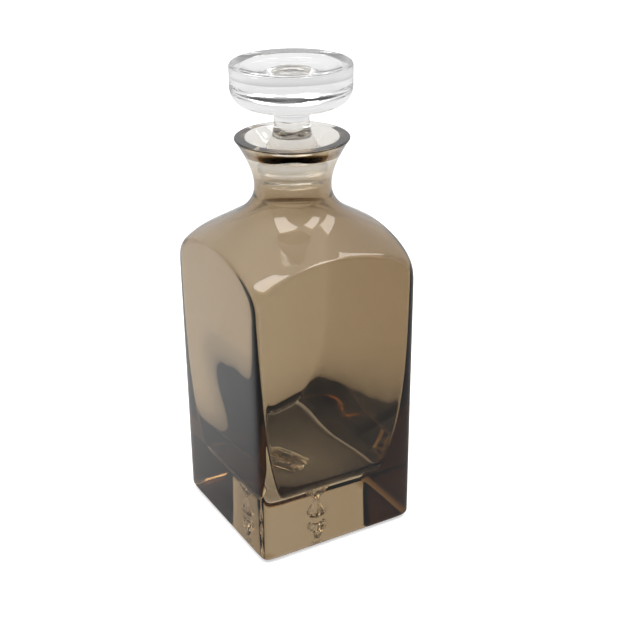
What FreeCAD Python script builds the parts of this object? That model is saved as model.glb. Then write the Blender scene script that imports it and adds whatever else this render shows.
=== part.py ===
import FreeCAD, Part
import math
import os

os.makedirs("parts", exist_ok=True)

V = FreeCAD.Vector

# A square spirits decanter of heavy glass with a loose glass stopper. Millimetres.
# It stands on z = 0, centred on the Z axis, with its four flat faces square to X and Y.

# Outside of the decanter
FOOT_HALF_WIDTH = 44.7      # axis to flat face, at the foot
TAPER = 0.0042              # growth of that half width per millimetre of height
TURNED_RADIUS = 62.6        # round form that softens the four upright corners
SHOULDER_START_Z = 136.0    # top of the upright part of the round form
EDGE_ROUND = 4.0            # rounding of the bottom edges and the four upright ones
LIP_Z = 208.4               # flat ground top of the lip
LIP_RADIUS = 28.4
LIP_BEVEL = 0.6
# Shoulder, neck and flare, from the upright part to the lip: (radius, z)
SHOULDER = [
    (TURNED_RADIUS, SHOULDER_START_Z), (61.0, 146.0), (54.3, 154.0), (44.2, 160.0),
    (33.6, 166.0), (24.6, 172.2), (19.8, 180.0), (19.6, 188.0), (22.9, 198.0),
    (LIP_RADIUS, LIP_Z - LIP_BEVEL),
]

# Inside of the decanter
WALL = 3.3                  # glass thickness at the shoulder
MOUTH_RADIUS = 23.3         # inside edge of the lip
BORE_TOP_Z = 201.0
BORE_TOP_RADIUS = 16.6
BORE_BOTTOM_Z = 185.5
BORE_BOTTOM_RADIUS = 16.1
FLOOR_Z = 28.0              # inside floor, over the solid foot
FLOOR_ROUND = 5.5
CORNER_FLOOR = 29.0         # half width of the room at its corners, at the floor
CORNER_TOP = 42.5           # the same, high up
CORNER_RISE = 31.0          # height over which the corners open out
FRONT_SWELL = 4.5           # how far each wall swells into the room at its thickest
LEFT_SWELL = 2.4
RIGHT_SWELL = 0.3
BACK_SWELL = 0.6
LEAST_SWELL = 0.2           # swell that every wall keeps at any height
SWELL_HEIGHT = 43.0         # height of the thickest place above the floor
SWELL_REACH = 28.0          # height over which the swell dies away
WELL_LEVELS = [0.0, 7.0, 16.0, 27.0, 40.0, 53.0, 68.0, 86.0, 107.0]     # heights above the floor

# Sealed air bell in the foot: (radius, z)
BUBBLE = [(0, 21.6), (4.6, 21.2), (7.0, 19.2), (4.4, 15.4), (1.9, 12.2), (3.6, 8.4), (5.7, 4.4),
          (4.4, 2.0), (0, 1.7)]

# Stopper
TOTAL_HEIGHT = 245.0
HEAD_RADIUS = 29.8
HEAD_EDGE = 1.8             # rounding of the top edge
HEAD_SIDE_Z = 233.5         # where the upright side turns into the bowl below
HEAD_BASE_Z = 220.6         # where the bowl meets the stem
STEM_RADIUS = 8.7
STEM_FLARE_Z = 215.0        # where the stem starts to flare
PLUG_CLEARANCE = 0.3        # radial gap between plug and bore
PLUG_BEVEL = 0.6
PLUG_STEP_Z = 194.5         # step between the seating band and the nose
NOSE_RADIUS = 15.2
NOSE_Z = 186.0
NOSE_ROUND = 1.5


def point(r, z):
    return V(r, 0, z)


def line(a, b):
    return Part.makeLine(point(*a), point(*b))


def spline(points, start, end):
    """Smooth curve through (radius, z) points with set directions at its ends."""
    curve = Part.BSplineCurve()
    curve.interpolate(Points=[point(*p) for p in points],
                      InitialTangent=point(*start), FinalTangent=point(*end))
    return curve


def turn(edges):
    """Solid of revolution about Z from a closed half outline."""
    solid = Part.Face(Part.Wire(edges)).revolve(V(0, 0, 0), V(0, 0, 1), 360)
    if solid.Volume < 0:
        solid.reverse()
    return solid


def quarter(centre, radius, start, end):
    """Arc about (radius, z) centre, between two angles in degrees."""
    pts = []
    for angle in (start, (start + end) / 2, end):
        a = math.radians(angle)
        pts.append(point(centre[0] + radius * math.cos(a), centre[1] + radius * math.sin(a)))
    return Part.Arc(*pts).toShape()


def shoulder_curve():
    return spline(SHOULDER, (0, 1), (0.55, 0.85))


def inner_shoulder():
    """The shoulder curve moved in by the wall, from the upright part up to the bore."""
    curve = shoulder_curve()
    low = curve.parameter(point(*SHOULDER[0]))
    high = curve.parameter(point(*SHOULDER[6]))
    pts = []
    for i in range(9):
        at = low + (high - low) * i / 8
        along = curve.tangent(at)[0]
        p = curve.value(at)
        pts.append((p.x - WALL * along.z, p.z + WALL * along.x))
    pts.append((BORE_BOTTOM_RADIUS, BORE_BOTTOM_Z))
    return pts


def flats():
    """The tapered square block that cuts the four flat faces, with its long edges rounded."""
    def wire(z):
        h = FOOT_HALF_WIDTH + TAPER * z
        corners = [V(h, -h, z), V(h, h, z), V(-h, h, z), V(-h, -h, z)]
        return Part.makePolygon(corners + corners[:1])
    block = Part.makeLoft([wire(0), wire(LIP_Z + 1.0)], True, True)
    edges = [e for e in block.Edges if e.BoundBox.ZMin < 1e-6]
    return block.makeFillet(EDGE_ROUND, edges)


def outside():
    rim = LIP_RADIUS - LIP_BEVEL
    edges = [line((0, 0), (TURNED_RADIUS, 0)),
             line((TURNED_RADIUS, 0), SHOULDER[0]),
             shoulder_curve().toShape(),
             line(SHOULDER[-1], (rim, LIP_Z)),
             line((rim, LIP_Z), (0, LIP_Z)),
             line((0, LIP_Z), (0, 0))]
    return turn(edges).common(flats())


def well_section(height):
    """Closed section of the inside: four walls that swell into the room and meet at the corners."""
    z = FLOOR_Z + height
    c = CORNER_TOP - (CORNER_TOP - CORNER_FLOOR) * math.exp(-height / CORNER_RISE)
    belly = math.exp(-((height - SWELL_HEIGHT) / SWELL_REACH) ** 2)
    right, back, left, front = [c - LEAST_SWELL - swell * belly
                                for swell in (RIGHT_SWELL, BACK_SWELL, LEFT_SWELL, FRONT_SWELL)]
    pts = [V(c, -c, z), V(right, 0, z), V(c, c, z), V(0, back, z),
           V(-c, c, z), V(-left, 0, z), V(-c, -c, z), V(0, -front, z)]
    sides = [Part.Arc(pts[i], pts[i + 1], pts[(i + 2) % 8]) for i in (0, 2, 4, 6)]
    return Part.Wire([side.toShape() for side in sides])


def well():
    """The square room inside, carried straight up past the lip."""
    sections = [well_section(height) for height in WELL_LEVELS]
    lower = Part.makeLoft(sections, True, False)
    floor = [e for e in lower.Edges if abs(e.BoundBox.ZMax - FLOOR_Z) < 1e-4]
    lower = lower.makeFillet(FLOOR_ROUND, floor)
    rise = LIP_Z + 5.0 - FLOOR_Z - WELL_LEVELS[-1]
    return lower.fuse(Part.Face(sections[-1]).extrude(V(0, 0, rise)))


def inside():
    """Room, shoulder, bore and mouth as one cutter."""
    shoulder = inner_shoulder()
    outer = shoulder[0][0]
    below = FLOOR_Z - 5.0
    top = LIP_Z + 1.0
    mouth = [(BORE_TOP_RADIUS, BORE_TOP_Z), (19.6, 204.4), (MOUTH_RADIUS, LIP_Z)]
    edges = [line((0, below), (outer, below)),
             line((outer, below), shoulder[0]),
             spline(shoulder, (0, 1), (0, 1)).toShape(),
             line(shoulder[-1], mouth[0]),
             spline(mouth, (0.6, 0.8), (0.6, 0.8)).toShape(),
             line(mouth[-1], (MOUTH_RADIUS, top)),
             line((MOUTH_RADIUS, top), (0, top)),
             line((0, top), (0, below))]
    return turn(edges).common(well())


def bubble():
    edges = [spline(BUBBLE, (1, 0), (-1, 0)).toShape(), line(BUBBLE[-1], BUBBLE[0])]
    return turn(edges)


def stopper():
    top = TOTAL_HEIGHT
    r = HEAD_RADIUS
    seat = BORE_TOP_RADIUS - PLUG_CLEARANCE
    slope = (BORE_TOP_RADIUS - BORE_BOTTOM_RADIUS) / (BORE_TOP_Z - BORE_BOTTOM_Z)
    plug_z = BORE_TOP_Z - PLUG_BEVEL
    low = seat - slope * (plug_z - PLUG_STEP_Z)
    nose = NOSE_RADIUS - NOSE_ROUND
    bowl = [(r, HEAD_SIDE_Z), (27.6, 227.5), (18.4, 223.7), (STEM_RADIUS + 0.4, HEAD_BASE_Z)]
    foot = [(STEM_RADIUS, STEM_FLARE_Z), (10.1, 209.4), (seat - PLUG_BEVEL, BORE_TOP_Z)]
    edges = [line((0, top), (r - HEAD_EDGE, top)),
             quarter((r - HEAD_EDGE, top - HEAD_EDGE), HEAD_EDGE, 90, 0),
             line((r, top - HEAD_EDGE), bowl[0]),
             spline(bowl, (0, -1), (-0.3, -1)).toShape(),
             line(bowl[-1], (STEM_RADIUS, HEAD_BASE_Z - 1.5)),
             line((STEM_RADIUS, HEAD_BASE_Z - 1.5), foot[0]),
             spline(foot, (0, -1), (0.8, -0.6)).toShape(),
             line(foot[-1], (seat, plug_z)),
             line((seat, plug_z), (low, PLUG_STEP_Z)),
             line((low, PLUG_STEP_Z), (NOSE_RADIUS, PLUG_STEP_Z - PLUG_BEVEL)),
             line((NOSE_RADIUS, PLUG_STEP_Z - PLUG_BEVEL), (NOSE_RADIUS, NOSE_Z + NOSE_ROUND)),
             quarter((nose, NOSE_Z + NOSE_ROUND), NOSE_ROUND, 0, -90),
             line((nose, NOSE_Z), (0, NOSE_Z)),
             line((0, NOSE_Z), (0, top))]
    return turn(edges)


def report(name, shape):
    box = shape.optimalBoundingBox(False, False)
    print(name, "valid", shape.isValid(), "solids", len(shape.Solids), "shells", len(shape.Shells),
          "volume %.1f cm3" % (shape.Volume / 1000),
          "size %.2f x %.2f x %.2f" % (box.XLength, box.YLength, box.ZLength),
          "from z %.2f" % box.ZMin)


room = inside()
decanter = outside().cut(room).cut(bubble()).Solids[0]
plug = stopper()
report("decanter_body", decanter)
report("stopper", plug)
print("room %.0f ml" % (room.Volume / 1000))
print("stopper to bore %.2f mm" % decanter.distToShape(plug)[0])
decanter.exportStep("parts/decanter_body.step")
plug.exportStep("parts/stopper.step")
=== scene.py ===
# %% [markdown]
# # A square decanter of cased smoked glass
#
# The decanter is one heavy piece of clear glass inside a thin smoked skin. A glassmaker gathers the clear
# glass first and dips it in smoked glass, so the colour is only on the outside. Looked at straight, two
# thin skins give a pale tan. Where light runs along a skin, at the corners and in the foot, it turns nearly
# black. A clear glass stopper stands in the neck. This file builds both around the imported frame.

# %% Load the frame
import math

import bpy
import numpy as np
from mathutils import Matrix, Vector


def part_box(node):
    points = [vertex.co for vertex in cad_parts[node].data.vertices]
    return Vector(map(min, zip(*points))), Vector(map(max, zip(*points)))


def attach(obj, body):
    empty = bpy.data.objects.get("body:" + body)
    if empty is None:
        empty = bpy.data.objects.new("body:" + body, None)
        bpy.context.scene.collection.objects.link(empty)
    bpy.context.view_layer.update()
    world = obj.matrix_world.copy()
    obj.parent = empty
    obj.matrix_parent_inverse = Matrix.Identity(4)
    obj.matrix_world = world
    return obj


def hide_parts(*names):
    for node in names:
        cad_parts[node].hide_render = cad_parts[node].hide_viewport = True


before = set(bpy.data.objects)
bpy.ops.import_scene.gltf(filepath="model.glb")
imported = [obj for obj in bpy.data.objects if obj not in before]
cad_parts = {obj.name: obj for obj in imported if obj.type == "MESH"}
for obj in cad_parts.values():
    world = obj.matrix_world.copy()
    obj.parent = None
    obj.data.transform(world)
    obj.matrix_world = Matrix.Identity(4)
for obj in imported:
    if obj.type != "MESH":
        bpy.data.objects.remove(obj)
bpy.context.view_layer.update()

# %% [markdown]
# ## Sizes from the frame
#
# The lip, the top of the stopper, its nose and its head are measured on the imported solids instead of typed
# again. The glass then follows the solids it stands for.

MM = 0.001
body_low, body_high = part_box("decanter_body")
plug_low, plug_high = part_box("stopper")
LIP_Z = body_high.z
TOP_Z = plug_high.z
NOSE_Z = plug_low.z
HEAD_RADIUS = plug_high.x
print("decanter", body_low, body_high)
print("stopper", plug_low, plug_high)

# %% [markdown]
# ## One way to add nodes
#
# Geometry and shader nodes are both wired here with ordinary Python arithmetic. `Wire` stands for a node's
# output, and adding or multiplying wires adds the Math nodes. `Tree.add` makes any other node.

# %% Wires and trees
class Wire:
    """A node's output that takes part in Python arithmetic."""

    def __init__(self, tree, socket):
        self.tree = tree
        self.socket = socket

    def __add__(self, other):
        return self.tree.maths("ADD", self, other)

    def __sub__(self, other):
        return self.tree.maths("SUBTRACT", self, other)

    def __rsub__(self, other):
        return self.tree.maths("SUBTRACT", other, self)

    def __mul__(self, other):
        return self.tree.maths("MULTIPLY", self, other)

    def __truediv__(self, other):
        return self.tree.maths("DIVIDE", self, other)

    def __rtruediv__(self, other):
        return self.tree.maths("DIVIDE", other, self)

    def __pow__(self, other):
        return self.tree.maths("POWER", self, other)

    __radd__ = __add__
    __rmul__ = __mul__

    def output(self, name):
        """Another output of the same node."""
        return Wire(self.tree, self.socket.node.outputs[name])


class Tree:
    """A node tree and the one way that nodes are added to it."""

    def __init__(self, nodes):
        self.nodes = nodes

    def add(self, kind, settings=None, sockets=None, out=0):
        node = self.nodes.nodes.new(kind)
        for key, value in (settings or {}).items():
            setattr(node, key, value)
        for key, value in (sockets or {}).items():
            self.feed(node.inputs[key], value)
        return Wire(self, node.outputs[out]) if node.outputs else node

    def feed(self, socket, value):
        if isinstance(value, Wire):
            self.nodes.links.new(value.socket, socket)
        else:
            socket.default_value = value

    def maths(self, operation, *values):
        return self.add("ShaderNodeMath", {"operation": operation}, dict(enumerate(values)))


# %% [markdown]
# ## The rule of the shape
#
# A blower turns the form round first and then four flat plates press it square. So every point starts on a
# turned outline at a height and a radius, and is drawn in to the nearest of three limits: the turned radius
# and the two flat plates. A soft minimum of the three gives the plain arch where shoulder meets flat, with
# the slightly melted edge that glass has. Geometry Nodes suit this, because the whole surface is one
# formula over a grid, and the same formula with no flats turns the stopper.

# %% A least value with melted corners
def soft_least(tree, values, sharpness):
    """The least of the values, with the corner between two of them melted."""
    least = values[0]
    for value in values[1:]:
        least = tree.maths("MINIMUM", least, value)
    total = 0.0
    for value in values:
        total = (least / value) ** sharpness + total
    return least * total ** (-1.0 / sharpness)


# %% [markdown]
# ## What the tree is given
#
# Each size of the square form and of the room inside is a named input, so that a different decanter is a
# different set of numbers. The defaults leave a piece round and solid, which is what the stopper needs.

# %% Inputs of the tree
INPUTS = {
    "Columns": ("NodeSocketInt", 256),
    "Half width": ("NodeSocketFloat", 1.0),
    "Taper": ("NodeSocketFloat", 0.0),
    "Sharpness": ("NodeSocketFloat", 90.0),
    "Floor height": ("NodeSocketFloat", 0.0),
    "Corner at floor": ("NodeSocketFloat", 1.0),
    "Corner at top": ("NodeSocketFloat", 1.0),
    "Corner rise": ("NodeSocketFloat", 1.0),
    "Front swell": ("NodeSocketFloat", 0.1),
    "Left swell": ("NodeSocketFloat", 0.1),
    "Right swell": ("NodeSocketFloat", 0.1),
    "Back swell": ("NodeSocketFloat", 0.1),
    "Least swell": ("NodeSocketFloat", 0.1),
    "Swell height": ("NodeSocketFloat", 0.0),
    "Swell reach": ("NodeSocketFloat", 1.0),
    "Well sharpness": ("NodeSocketFloat", 30.0),
    "Glass": ("NodeSocketMaterial", None),
}

turn_and_press = bpy.data.node_groups.new("turn_and_press", "GeometryNodeTree")
face = turn_and_press.interface
face.new_socket("Geometry", in_out="INPUT", socket_type="NodeSocketGeometry")
for name, (kind, value) in INPUTS.items():
    socket = face.new_socket(name, in_out="INPUT", socket_type=kind)
    if value is not None:
        socket.default_value = value
face.new_socket("Geometry", in_out="OUTPUT", socket_type="NodeSocketGeometry")
t = Tree(turn_and_press)
given = t.add("NodeGroupInput")
size = {name: given.output(name) for name in INPUTS}
outline = given.output("Geometry")
print("inputs:", len(INPUTS))

# %% [markdown]
# ## A grid with a row for each point of the outline
#
# The outline comes in as a string of points that carry their own numbers. The grid has as many rows as the
# outline has points, and every grid point reads the numbers of its row.

# %% Grid and row numbers
rows = t.add("GeometryNodeAttributeDomainSize", None, {"Geometry": outline})
columns = size["Columns"]
grid = t.add("GeometryNodeMeshGrid", None,
             {"Size X": 1.0, "Size Y": 1.0, "Vertices X": columns + 1, "Vertices Y": rows})
index = t.add("GeometryNodeInputIndex")
row = t.maths("FLOORED_MODULO", index, rows)
column = t.maths("FLOORED_MODULO", t.maths("FLOOR", index / rows), columns)


def along(name):
    """A number of the outline's row, read for every point of the grid."""
    value = t.add("GeometryNodeInputNamedAttribute", {"data_type": "FLOAT"}, {"Name": name})
    return t.add("GeometryNodeSampleIndex", {"data_type": "FLOAT"},
                 {"Geometry": outline, "Value": value, "Index": row})


radius, height = along("radius"), along("height")
inset, share = along("inset"), along("share")
inside, skin = along("inside"), along("skin")

# %% [markdown]
# ## Directions around the axis
#
# The columns crowd towards the four upright edges, where the glass turns fastest and a coarse step would
# show as a facet in the reflections.

# %% Compass
side = columns / 4
quarter = t.maths("FLOOR", column / side)
across = (column - quarter * side) / side * 2 - 1
across = t.maths("SINE", across * (math.pi / 2))
angle = quarter * (math.pi / 2) + t.maths("ARCTANGENT", across)
cosine, sine = t.maths("COSINE", angle), t.maths("SINE", angle)
NEARLY_NONE = 1e-4
c = t.maths("MAXIMUM", t.maths("ABSOLUTE", cosine), NEARLY_NONE)
s = t.maths("MAXIMUM", t.maths("ABSOLUTE", sine), NEARLY_NONE)

# %% [markdown]
# ## Outside: turned, then pressed by four flats
#
# The flats lean out a little with height, as a mould does so that the glass will come free. A heel is
# rounded by drawing its rows in from the flats.

# %% Pressed outside
half = size["Half width"] + size["Taper"] * height - inset
pressed = soft_least(t, [radius, half / c, half / s], size["Sharpness"])

# %% [markdown]
# ## Inside: four walls that swell into the room
#
# Hot glass sags and gathers where it cools last, so the walls of the room are not flat. Each is an arc
# between two corners. The corners open out with height, and each wall swells most at one height and by its
# own amount. Where an arc is not met at all, near the far corner of another wall, it is sent out of reach.

# %% Room inside
OUT_OF_REACH = 1.0
above = t.maths("MAXIMUM", height - size["Floor height"], 0.0)
fade = t.maths("EXPONENT", above / size["Corner rise"] * -1)
corner = size["Corner at top"] + (size["Corner at floor"] - size["Corner at top"]) * fade - inset
lift = (above - size["Swell height"]) / size["Swell reach"]
belly = t.maths("EXPONENT", lift * lift * -1)


def wall(a, b, facing, ahead, behind):
    """How far out the wall on one side is: an arc that swells into the room and ends at both corners."""
    swell = size[ahead] + (size[behind] - size[ahead]) * t.maths("LESS_THAN", facing, 0.0)
    swell = swell * belly + size["Least swell"]
    bend = (swell * swell + corner * corner) / (swell * 2)
    shift = corner - swell + bend
    under = bend * bend - shift * b * (shift * b)
    missed = t.maths("LESS_THAN", under, 0.0) * OUT_OF_REACH
    return shift * a - t.maths("SQRT", t.maths("MAXIMUM", under, 0.0)) + missed


walls = [wall(c, s, cosine, "Right swell", "Left swell"), wall(s, c, sine, "Back swell", "Front swell")]
well = soft_least(t, [radius] + walls, size["Well sharpness"])

# %% [markdown]
# ## Place, weld and smooth
#
# The skin's thickness stays on the points, because the glass shader reads it. Welding closes the seam of
# the grid and the points that meet on the axis, so the piece is a closed solid.

# %% Finished surface
WELD = 1e-6
reach = (pressed + (well - pressed) * inside) * share
place = t.add("ShaderNodeCombineXYZ", None, {"X": reach * cosine, "Y": reach * sine, "Z": height})
marked = t.add("GeometryNodeStoreNamedAttribute", {"data_type": "FLOAT", "domain": "POINT"},
               {"Geometry": grid, "Name": "skin", "Value": skin})
moved = t.add("GeometryNodeSetPosition", None, {"Geometry": marked, "Position": place})
welded = t.add("GeometryNodeMergeByDistance", None, {"Geometry": moved, "Distance": WELD})
smooth = t.add("GeometryNodeSetShadeSmooth", None, {"Geometry": welded})
real = t.add("GeometryNodeRealizeInstances", None, {"Geometry": smooth})
glass = t.add("GeometryNodeSetMaterial", None, {"Geometry": real, "Material": size["Glass"]})
t.add("NodeGroupOutput", None, {"Geometry": glass})
print("nodes in the tree:", len(turn_and_press.nodes))

# %% [markdown]
# ## Outlines
#
# An outline is the profile that a blower's paddle or a grinder's wheel would leave, as (radius, height)
# points. Each row also says how far it is drawn in from the flats, how far along the foot or floor it is,
# whether it belongs to the room inside, and how thick the smoked skin is there. Curved stretches are
# clamped cubic splines through the same few points as the design.

# %% Lines, arcs and splines of an outline
def smooth_line(points, spacing, start=None, end=None):
    """Points about `spacing` apart along a cubic spline, with set directions at its ends if given."""
    p = np.array(points, float)
    along = np.concatenate([[0], np.cumsum(np.linalg.norm(np.diff(p, axis=0), axis=1))])
    gaps = np.diff(along)
    rise = np.diff(p, axis=0) / gaps[:, None]
    last = len(p) - 1
    matrix = np.zeros((len(p), len(p)))
    wanted = np.zeros((len(p), 2))
    for i in range(1, last):
        matrix[i, i - 1:i + 2] = gaps[i - 1], 2 * (gaps[i - 1] + gaps[i]), gaps[i]
        wanted[i] = 6 * (rise[i] - rise[i - 1])
    matrix[0, 0] = matrix[last, last] = 1.0
    if start is not None:
        matrix[0, :2] = 2 * gaps[0], gaps[0]
        wanted[0] = 6 * (rise[0] - np.array(start) / np.hypot(*start))
    if end is not None:
        matrix[last, -2:] = gaps[-1], 2 * gaps[-1]
        wanted[last] = 6 * (np.array(end) / np.hypot(*end) - rise[-1])
    curve = np.linalg.solve(matrix, wanted)
    stretches = []
    for i, gap in enumerate(gaps):
        steps = max(2, round(gap / spacing))
        b = np.arange(steps)[:, None] / steps
        a = 1 - b
        bend = (a ** 3 - a) * curve[i] + (b ** 3 - b) * curve[i + 1]
        stretches.append(a * p[i] + b * p[i + 1] + gap ** 2 / 6 * bend)
    return np.concatenate(stretches + [p[-1:]])


def run(start, end, steps):
    return np.linspace(start, end, steps + 1)


def arc(centre, radius, start, end, steps):
    turn = np.radians(np.linspace(start, end, steps + 1))
    return np.column_stack([centre[0] + radius * np.cos(turn), centre[1] + radius * np.sin(turn)])


def millimetres(*points):
    return np.array(points, float) * MM


SAME_ROW = 1e-7


class Outline:
    """Rows of half an outline, from one end on the axis to the other."""

    def __init__(self):
        self.rows = []

    def add(self, line, inset=0.0, share=1.0, inside=0.0, skin=0.0):
        line = np.asarray(line, float)
        extras = [np.broadcast_to(value, len(line)) for value in (inset, share, inside, skin)]
        for row in np.column_stack([line] + extras):
            if not self.rows or np.abs(row - self.rows[-1]).max() > SAME_ROW:
                self.rows.append(row)


# %% [markdown]
# ## From an outline to a piece
#
# The outline becomes a string of points with the tree on it. The result is taken as a plain mesh and the
# string is thrown away, so that nothing but closed glass is left.

# %% Press a piece
def press(name, outline, glass, **sizes):
    """A solid piece of glass from an outline, as a plain mesh."""
    table = np.array(outline.rows)
    mesh = bpy.data.meshes.new(name)
    mesh.from_pydata([(r, 0, z) for r, z in table[:, :2]], [], [])
    for column, key in enumerate(("radius", "height", "inset", "share", "inside", "skin")):
        values = mesh.attributes.new(key, "FLOAT", "POINT")
        values.data.foreach_set("value", np.ascontiguousarray(table[:, column], np.float32))
    maker = bpy.data.objects.new(name, mesh)
    bpy.context.scene.collection.objects.link(maker)
    modifier = maker.modifiers.new("press", "NODES")
    modifier.node_group = turn_and_press
    sockets = {item.name: item.identifier for item in turn_and_press.interface.items_tree
               if item.item_type == "SOCKET" and item.in_out == "INPUT"}
    modifier[sockets["Glass"]] = glass
    for key, value in sizes.items():
        modifier[sockets[key.replace("_", " ").capitalize()]] = value
    bpy.context.view_layer.update()
    solid = bpy.data.meshes.new_from_object(maker.evaluated_get(bpy.context.evaluated_depsgraph_get()))
    bpy.data.objects.remove(maker)
    piece = bpy.data.objects.new(name, solid)
    bpy.context.scene.collection.objects.link(piece)
    print(name, len(table), "rows,", sum(len(f.vertices) - 2 for f in solid.polygons), "triangles")
    return piece


# %% [markdown]
# ## Cased glass as a shader
#
# Real cased glass dims light only in its skin, and a slanting ray crosses more of the skin. Volume shaders
# would need a second closed shell, so the skin is put on the surface itself. A Fresnel mix of Refraction
# and Glossy is plain glass, and each of the two is dimmed by the skin's colour to the power of the slanted
# depth. Light that reflects inside the glass crosses the skin twice, which is what blackens the corners.
# Hand-worked glass is never quite even, so the skin's thickness drifts a little and the surface is faintly
# rippled.

# %% Numbers of the glass
GLASS_IOR = 1.52
SKIN_COLOUR = (0.665, 0.578, 0.455)     # what one skin lets through, looked at straight
CLEAR_COLOUR = (0.985, 0.99, 0.99)
SKIN_THICKNESS = 1.05
THICKER_SIDE = (2.2, -1.3, 0.0)         # growth of the skin's thickness for each metre across
SKIN_DRIFT = 0.12
CLOUD_SCALE = 22.0
RIPPLE_SCALE = 38.0
SMOKED_RIPPLE = 0.10 * MM
CLEAR_RIPPLE = 0.03 * MM
LEAST_COSINE = 0.35                     # a skin is never crossed at more of a slant than this
SEAT_MIDDLE = 197.6 * MM                # the ground band of the plug, and of the bore around it
SEAT_HALF = 3.1 * MM
SEAT_EDGE = 0.6 * MM
SEAT_REACH = 17.0 * MM
SEAT_ROUGHNESS = 0.22

# %% [markdown]
# ## The shader
#
# Three things vary over the surface: how thick the skin is, how the surface ripples, and how rough it is.
# Only the seating band is rough, because it is ground so that the stopper grips in the bore.

# %% Glass with a skin
def cased_glass(name, skin_colour, drift, ripple):
    """Clear glass inside a skin of the given colour, whose thickness drifts."""
    mat = bpy.data.materials.new(name)
    mat.use_nodes = True
    mat.node_tree.nodes.clear()
    t = Tree(mat.node_tree)
    where = t.add("ShaderNodeTexCoord", None, None, "Object")
    cloud = t.add("ShaderNodeTexNoise", None, {"Vector": where, "Scale": CLOUD_SCALE, "Detail": 2.0}, "Fac")
    lean = t.add("ShaderNodeVectorMath", {"operation": "DOT_PRODUCT"}, {0: where, 1: THICKER_SIDE}, "Value")
    drawn = t.add("ShaderNodeAttribute", {"attribute_name": "skin"}, None, "Fac")
    skin = drawn * (SKIN_THICKNESS + lean + (cloud - 0.5) * drift)
    wave = t.add("ShaderNodeTexNoise", None, {"Vector": where, "Scale": RIPPLE_SCALE, "Detail": 1.0}, "Fac")
    normal = t.add("ShaderNodeBump", None, {"Strength": 1.0, "Distance": ripple, "Height": wave}, "Normal")
    place = t.add("ShaderNodeSeparateXYZ", None, {"Vector": where}, "Z")
    radius = t.maths("SQRT", place.output("X") ** 2 + place.output("Y") ** 2)
    ground = t.add("ShaderNodeMapRange", {"interpolation_type": "SMOOTHSTEP"},
                   {"Value": t.maths("ABSOLUTE", place - SEAT_MIDDLE), "From Min": SEAT_HALF + SEAT_EDGE,
                    "From Max": SEAT_HALF, "To Min": 0.0, "To Max": SEAT_ROUGHNESS})
    frosted = ground * t.maths("LESS_THAN", radius, SEAT_REACH)
    slant = 1 - t.add("ShaderNodeLayerWeight", None, {"Blend": 0.5}, "Facing")
    within = t.add("ShaderNodeNewGeometry", None, None, "Backfacing")
    bent = t.maths("SQRT", 1 - (1 - slant * slant) / GLASS_IOR ** 2)
    cosine = t.maths("MAXIMUM", bent + (slant - bent) * within, LEAST_COSINE)
    depth = skin / cosine

    def dimmed(depth):
        """The colour left after crossing the skin to a depth."""
        channels = {key: t.maths("POWER", value, depth)
                    for key, value in zip(("Red", "Green", "Blue"), skin_colour)}
        return t.add("ShaderNodeCombineColor", None, channels)

    through = t.add("ShaderNodeBsdfRefraction", None,
                    {"Color": dimmed(depth), "Roughness": frosted, "IOR": GLASS_IOR, "Normal": normal})
    mirror = t.add("ShaderNodeBsdfAnisotropic", None,
                   {"Color": dimmed(depth * within * 2), "Roughness": frosted, "Normal": normal})
    share = t.add("ShaderNodeFresnel", None, {"IOR": GLASS_IOR, "Normal": normal})
    glass = t.add("ShaderNodeMixShader", None, {0: share, 1: through, 2: mirror})
    t.add("ShaderNodeOutputMaterial", None, {"Surface": glass})
    return mat


smoked = cased_glass("smoked_cased_glass", SKIN_COLOUR, SKIN_DRIFT, SMOKED_RIPPLE)
crystal = cased_glass("clear_stopper_glass", CLEAR_COLOUR, 0.0, CLEAR_RIPPLE)
print("glass:", smoked.name, crystal.name)

# %% [markdown]
# ## The decanter
#
# Its outside stands on a rounded heel, rises almost plumb with a slight taper, domes over into the neck and
# flares out to a ground lip. The room inside starts under the shoulder. Its corners open out from the floor
# upwards, and the walls swell into it, most of all at the front, where the glass was thickest when it was
# blown. That swell is what bends the view of the far corner and darkens the low part of the left face.

# %% Sizes of the decanter
HALF_WIDTH = 44.7 * MM
TAPER = 0.0042
TURNED = 62.6 * MM
EDGE_ROUND = 4.0 * MM
LIP_RADIUS = 28.4 * MM
LIP_BEVEL = 0.6 * MM
SHOULDER = millimetres((62.6, 136), (61, 146), (54.3, 154), (44.2, 160), (33.6, 166), (24.6, 172.2),
                       (19.8, 180), (19.6, 188), (22.9, 198), (28.4, 207.8))
WALL = 3.3 * MM
MOUTH = 23.3 * MM
MOUTH_MIDDLE = (19.6 * MM, 204.4 * MM)
NECK_TOP = 180.0 * MM                   # above this the inside is the bore, not the shoulder
BORE_TOP = (16.6 * MM, 201.0 * MM)
BORE_END = (16.1 * MM, 185.5 * MM)
FLOOR_Z = 28.0 * MM
FLOOR_ROUND = 5.5 * MM
ROOM = {"floor_height": FLOOR_Z, "corner_at_floor": 29.0 * MM, "corner_at_top": 42.5 * MM,
        "corner_rise": 31.0 * MM, "front_swell": 4.5 * MM, "left_swell": 2.4 * MM, "right_swell": 0.3 * MM,
        "back_swell": 0.6 * MM, "least_swell": 0.2 * MM, "swell_height": 43.0 * MM,
        "swell_reach": 28.0 * MM, "well_sharpness": 80.0}
STEP = 0.7 * MM                         # spacing of the rows on curved stretches
COLUMNS = 240
EDGE_SHARPNESS = 42.0                   # melts the upright edges to about the same round as the heel
SKIN_HEIGHTS = millimetres(0, 4, 176, 186, 192, 198, 208.4)
SKINS = [0.4, 1.0, 1.0, 0.9, 0.5, 0.25, 0.12]
LIP_SKIN = 0.08

# %% [markdown]
# ## Its outline
#
# The rows run from the middle of the foot, round the heel, up the outside to the lip, and down the inside
# to the middle of the floor. Smoked glass is stretched thin in the flare, so the mouth looks almost clear,
# and the ground parts and the room inside have no skin at all.

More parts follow.
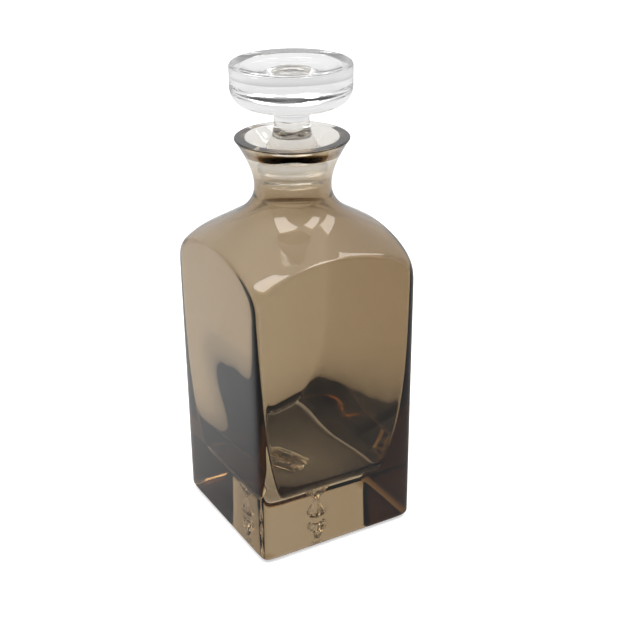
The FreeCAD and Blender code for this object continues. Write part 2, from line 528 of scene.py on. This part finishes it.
# %% Skin and inside line
def skin_at(line):
    """How thick the smoked skin is: worn thin round the heel, full on the body, drawn thin in the flare."""
    return np.interp(line[:, 1], SKIN_HEIGHTS, SKINS)


def inside_line():
    """The inside surface from the lip down to the top of the walls."""
    curve = smooth_line(SHOULDER, STEP, (0, 1), (0.55, 0.85))
    ahead = np.gradient(curve, axis=0)
    ahead /= np.linalg.norm(ahead, axis=1)[:, None]
    inner = curve + WALL * np.column_stack([-ahead[:, 1], ahead[:, 0]])
    inner = inner[(curve[:, 1] < NECK_TOP) & (inner[:, 0] > BORE_END[0])][::-1]
    mouth = smooth_line([(MOUTH, LIP_Z), MOUTH_MIDDLE, BORE_TOP], STEP, (-0.6, -0.8), (-0.6, -0.8))
    bore = run(BORE_TOP, BORE_END, 8)[1:]
    return np.concatenate([mouth, bore, inner])


# %% Outline of the decanter
shoulder = smooth_line(SHOULDER, STEP, (0, 1), (0.55, 0.85))
body = Outline()
foot_share = np.linspace(0, 1, 8)
body.add(np.full((8, 2), (TURNED - EDGE_ROUND, 0)), EDGE_ROUND, foot_share)
heel = arc((TURNED - EDGE_ROUND, EDGE_ROUND), EDGE_ROUND, -90, 0, 9)
body.add(heel, TURNED - heel[:, 0], skin=skin_at(heel))
body.add(run((TURNED, EDGE_ROUND), shoulder[0], 10), skin=1)
body.add(shoulder, skin=skin_at(shoulder))
lip = arc((LIP_RADIUS - LIP_BEVEL, LIP_Z - LIP_BEVEL), LIP_BEVEL, 0, 90, 4)
body.add(lip, skin=np.linspace(LIP_SKIN, 0, 5))
body.add(run((LIP_RADIUS - LIP_BEVEL, LIP_Z), (MOUTH + 0.3 * MM, LIP_Z), 4))
inner = inside_line()
body.add(inner, inside=1)
reach = inner[-1, 0]
body.add(run(inner[-1], (reach, FLOOR_Z + FLOOR_ROUND), 40), inside=1)
turn = arc((reach - FLOOR_ROUND, FLOOR_Z + FLOOR_ROUND), FLOOR_ROUND, 0, -90, 8)
body.add(np.column_stack([np.full(9, reach), turn[:, 1]]), reach - turn[:, 0], inside=1)
body.add(np.full((9, 2), (reach, FLOOR_Z)), FLOOR_ROUND, np.linspace(1, 0, 9), inside=1)
decanter = press("decanter_glass", body, smoked, columns=COLUMNS, half_width=HALF_WIDTH, taper=TAPER,
                 sharpness=EDGE_SHARPNESS, **ROOM)

# %% [markdown]
# ## The air bell
#
# A glassmaker pricks the hot foot and covers the prick with more glass, and the trapped air swells into a
# bell. Its sides fold like a cloth where it was drawn thin. It is a hollow in the same solid, so its faces
# point into the hollow and it is joined to the decanter.

# %% Air bell
BELL = millimetres((0, 1.7), (4.4, 2.0), (5.7, 4.4), (3.6, 8.4), (1.9, 12.2), (4.4, 15.4), (7.0, 19.2),
                   (4.6, 21.2), (0, 21.6))
BELL_STEP = 0.4 * MM
BELL_COLUMNS = 96
FOLD_DEPTH = 0.09
FOLD_START = 3.0 * MM                   # the folds die away nearer to the axis than this
SMALL_FOLDS, SMALL_TWIST = 7, 110
BIG_FOLDS, BIG_TWIST = 3, -60
bell_outline = Outline()
bell_outline.add(smooth_line(BELL, BELL_STEP, (1, 0), (-1, 0)))
bell = press("air_bell", bell_outline, smoked, columns=BELL_COLUMNS)
for vertex in bell.data.vertices:
    x, y, z = vertex.co
    turn = math.atan2(y, x)
    small_fold = math.cos(SMALL_FOLDS * turn + SMALL_TWIST * z)
    big_fold = math.cos(BIG_FOLDS * turn + BIG_TWIST * z)
    depth = FOLD_DEPTH * min(1, math.hypot(x, y) / FOLD_START)
    vertex.co.xy = vertex.co.xy * (1 + depth * (small_fold + 0.5 * big_fold))
bell.data.flip_normals()
with bpy.context.temp_override(active_object=decanter, selected_editable_objects=[decanter, bell]):
    bpy.ops.object.join()

# %% [markdown]
# ## The stopper
#
# A solid disc with a bowl-shaped underside, a short stem, and a flared plug that is ground to seat in the
# bore. It is turned work all over, so the same tree makes it with no flats.

# %% Sizes of the stopper
HEAD_EDGE = 1.8 * MM
HEAD_SIDE_Z = 233.5 * MM
STEM = 8.7 * MM
STEM_LOW, STEM_HIGH = 215.0 * MM, 219.1 * MM
SEAT_TOP = (16.3 * MM, 200.4 * MM)
SEAT_END = (16.11 * MM, 194.5 * MM)
NOSE = 15.2 * MM
NOSE_TOP_Z = 193.9 * MM
NOSE_ROUND = 1.5 * MM
TRUMPET = millimetres((15.7, 201), (10.1, 209.4), (8.7, 215))
BOWL = millimetres((9.1, 220.6), (18.4, 223.7), (27.6, 227.5), (29.8, 233.5))
STOPPER_STEP = 0.5 * MM
STOPPER_COLUMNS = 192

# %% Outline of the stopper
stop = Outline()
stop.add(run((0, NOSE_Z), (NOSE - NOSE_ROUND, NOSE_Z), 8))
stop.add(arc((NOSE - NOSE_ROUND, NOSE_Z + NOSE_ROUND), NOSE_ROUND, -90, 0, 6))
stop.add(run((NOSE, NOSE_Z + NOSE_ROUND), (NOSE, NOSE_TOP_Z), 4))
stop.add(run((NOSE, NOSE_TOP_Z), SEAT_END, 3))
stop.add(run(SEAT_END, SEAT_TOP, 6))
stop.add(smooth_line(TRUMPET, STOPPER_STEP, (-0.8, 0.6), (0, 1)))
stop.add(run((STEM, STEM_LOW), (STEM, STEM_HIGH), 5))
stop.add(smooth_line(BOWL, STOPPER_STEP, (0.3, 1), (0, 1)))
stop.add(run((HEAD_RADIUS, HEAD_SIDE_Z), (HEAD_RADIUS, TOP_Z - HEAD_EDGE), 8))
stop.add(arc((HEAD_RADIUS - HEAD_EDGE, TOP_Z - HEAD_EDGE), HEAD_EDGE, 0, 90, 8))
stop.add(run((HEAD_RADIUS - HEAD_EDGE, TOP_Z), (0, TOP_Z), 12))
plug = press("stopper_glass", stop, crystal, columns=STOPPER_COLUMNS)

# %% [markdown]
# ## Who owns what
# Each piece rides on the body that moves it and stands in for the solid it shows, which is hidden.

# %% Which body each piece has, and which solid it hides
for piece, node, owner, finish in ((decanter, "decanter_body", "decanter", "smoked_glass"),
                                   (plug, "stopper", "stopper", "clear_glass")):
    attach(piece, owner)
    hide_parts(node)

# %% [markdown]
# ## The studio
#
# Glass shows its surroundings and nothing else, so the studio is the look. A white sheet fades to a dimmer
# room on the camera's side, which draws the dark lines in the stopper. Three tall soft windows put the pale
# patches on the neck and shoulder. The glass sees paper whose colour is painted darker towards the camera,
# a painted shade for the light that stands behind. The camera sees clean white paper with only a trace of
# shadow.

# %% Paper
VIEW_TURN = math.radians(29.48)
VIEW_DOWN = math.radians(24.34)
VIEW_ROLL = math.radians(0.6)
away = Vector((math.sin(VIEW_TURN), math.cos(VIEW_TURN), 0))
rightward = Vector((math.cos(VIEW_TURN), -math.sin(VIEW_TURN), 0))
# Painted shade on the paper as the glass sees it: its colour near the camera and behind the decanter.
PAINTED_SHADE_NEAR = 0.22
PAINTED_SHADE_FAR = 0.68
PAPER_SIZE = 3.0
PAPER_DROP = 0.2 * MM
PAINTED_SHADE_SPAN = (-0.15, 0.1)               # from here to here, in metres along the line of sight
PAPER_LIFT = 0.55
corners = [(-PAPER_SIZE, -PAPER_SIZE, 0), (PAPER_SIZE, -PAPER_SIZE, 0),
           (PAPER_SIZE, PAPER_SIZE, 0), (-PAPER_SIZE, PAPER_SIZE, 0)]
paper_mesh = bpy.data.meshes.new("studio_paper")
paper_mesh.from_pydata(corners, [], [(0, 1, 2, 3)])
paper = bpy.data.objects.new("studio_paper", paper_mesh)
bpy.context.scene.collection.objects.link(paper)
paper.location.z = -PAPER_DROP
sheet = bpy.data.materials.new("white_paper")
sheet.use_nodes = True
sheet.node_tree.nodes.clear()
t = Tree(sheet.node_tree)
lifted = t.add("ShaderNodeBsdfPrincipled", None,
               {"Base Color": (0.72, 0.72, 0.72, 1), "Roughness": 0.9, "Specular IOR Level": 0.1,
                "Emission Color": (1, 1, 1, 1), "Emission Strength": PAPER_LIFT})
spot = t.add("ShaderNodeTexCoord", None, None, "Object")
behind = t.add("ShaderNodeVectorMath", {"operation": "DOT_PRODUCT"}, {0: spot, 1: away}, "Value")
# Painted shade: the paper's colour darkens towards the camera, standing in for the light that comes from
# behind.
fade = t.add("ShaderNodeMapRange", {"interpolation_type": "SMOOTHSTEP"},
             {"Value": behind, "From Min": PAINTED_SHADE_SPAN[0], "From Max": PAINTED_SHADE_SPAN[1],
              "To Min": PAINTED_SHADE_NEAR, "To Max": PAINTED_SHADE_FAR})
plain = t.add("ShaderNodeBsdfPrincipled", None,
              {"Base Color": fade, "Roughness": 0.9, "Specular IOR Level": 0.1})
seen = t.add("ShaderNodeLightPath", None, None, "Is Camera Ray")
paper_look = t.add("ShaderNodeMixShader", None, {0: seen, 1: plain, 2: lifted})
t.add("ShaderNodeOutputMaterial", None, {"Surface": paper_look})
paper_mesh.materials.append(sheet)

# %% [markdown]
# ## The room around
#
# The room is bright behind the decanter and overhead, and dim on the camera's side. Its brightness depends
# only on direction. The camera itself sees it as white.

# %% Surroundings
ROOM_DIM, ROOM_BRIGHT = 0.08, 0.86
ROOM_FADE = (-0.6, 0.0)
TOP_LIGHT = 0.5
TOP_FADE = (0.6, 0.95)
world = bpy.data.worlds.new("studio")
bpy.context.scene.world = world
world.use_nodes = True
world.node_tree.nodes.clear()
t = Tree(world.node_tree)
direction = t.add("ShaderNodeTexCoord", None, None, "Generated")
depth = t.add("ShaderNodeVectorMath", {"operation": "DOT_PRODUCT"}, {0: direction, 1: away}, "Value")
room_light = t.add("ShaderNodeMapRange", {"interpolation_type": "SMOOTHSTEP"},
                   {"Value": depth, "From Min": ROOM_FADE[0], "From Max": ROOM_FADE[1],
                    "To Min": ROOM_DIM, "To Max": ROOM_BRIGHT})
height = t.add("ShaderNodeVectorMath", {"operation": "DOT_PRODUCT"}, {0: direction, 1: (0, 0, 1)}, "Value")
top_light = t.add("ShaderNodeMapRange", {"interpolation_type": "SMOOTHSTEP"},
                  {"Value": height, "From Min": TOP_FADE[0], "From Max": TOP_FADE[1],
                   "To Min": 0.0, "To Max": TOP_LIGHT})
room_light = room_light + top_light
seen = t.add("ShaderNodeLightPath", None, None, "Is Camera Ray")
backdrop = t.add("ShaderNodeBackground", None,
                 {"Color": (1, 1, 1, 1), "Strength": t.maths("MAXIMUM", room_light, seen)})
t.add("ShaderNodeOutputWorld", None, {"Surface": backdrop})

# %% [markdown]
# ## The windows
#
# Each window is a soft rectangle two metres away. Its place in the sky fixes where its patch sits on the
# dome: the higher it stands, the nearer the neck.

# %% Windows
WINDOW_AWAY = 2.0
WINDOW_AIM = Vector((0, 0, 0.15))


def soft_window(name, turn, lift, width, height, brightness):
    """A soft window: turn is degrees round from the camera's side, lift is degrees above the paper."""
    turn, lift = math.radians(turn), math.radians(lift)
    level = -away * math.cos(turn) + rightward * math.sin(turn)
    towards = level * math.cos(lift) + Vector((0, 0, math.sin(lift)))
    light = bpy.data.lights.new(name, "AREA")
    light.shape = "RECTANGLE"
    light.size, light.size_y = width, height
    light.energy = brightness * math.pi * width * height
    window = bpy.data.objects.new(name, light)
    bpy.context.scene.collection.objects.link(window)
    window.location = towards * WINDOW_AWAY + WINDOW_AIM
    window.rotation_euler = (-towards).to_track_quat("-Z", "Y").to_euler()


soft_window("left_window", -43, 69, 0.8, 1.3, 5.0)
soft_window("right_window", 72, 60, 0.55, 0.9, 5.0)
soft_window("far_right_window", 112, 48, 0.6, 0.9, 4.0)

# %% [markdown]
# ## The camera
#
# It stands a little above the shoulder and looks down at one upright edge, so that two flat faces, the
# arches and the mouth all show. The slight roll is that of a camera held by hand.

# %% Camera
LENS = 71.15
CAMERA_PLACE = (-0.2774, -0.5066, 0.3767)
GLASS_BOUNCES = 24
lens = bpy.data.cameras.new("camera")
lens.sensor_width = 36.0
lens.lens = LENS
lens.clip_start = 0.01
camera = bpy.data.objects.new("camera", lens)
bpy.context.scene.collection.objects.link(camera)
bpy.context.scene.camera = camera
ahead = away * math.cos(VIEW_DOWN) - Vector((0, 0, math.sin(VIEW_DOWN)))
above = rightward.cross(ahead)
side = rightward * math.cos(VIEW_ROLL) - above * math.sin(VIEW_ROLL)
upward = above * math.cos(VIEW_ROLL) + rightward * math.sin(VIEW_ROLL)
frame_of_view = Matrix((side, upward, -ahead)).transposed().to_4x4()
camera.matrix_world = Matrix.Translation(CAMERA_PLACE) @ frame_of_view

scene = bpy.context.scene
scene.view_settings.view_transform = "Standard"
scene.cycles.max_bounces = GLASS_BOUNCES
scene.cycles.transmission_bounces = GLASS_BOUNCES
scene.cycles.glossy_bounces = GLASS_BOUNCES
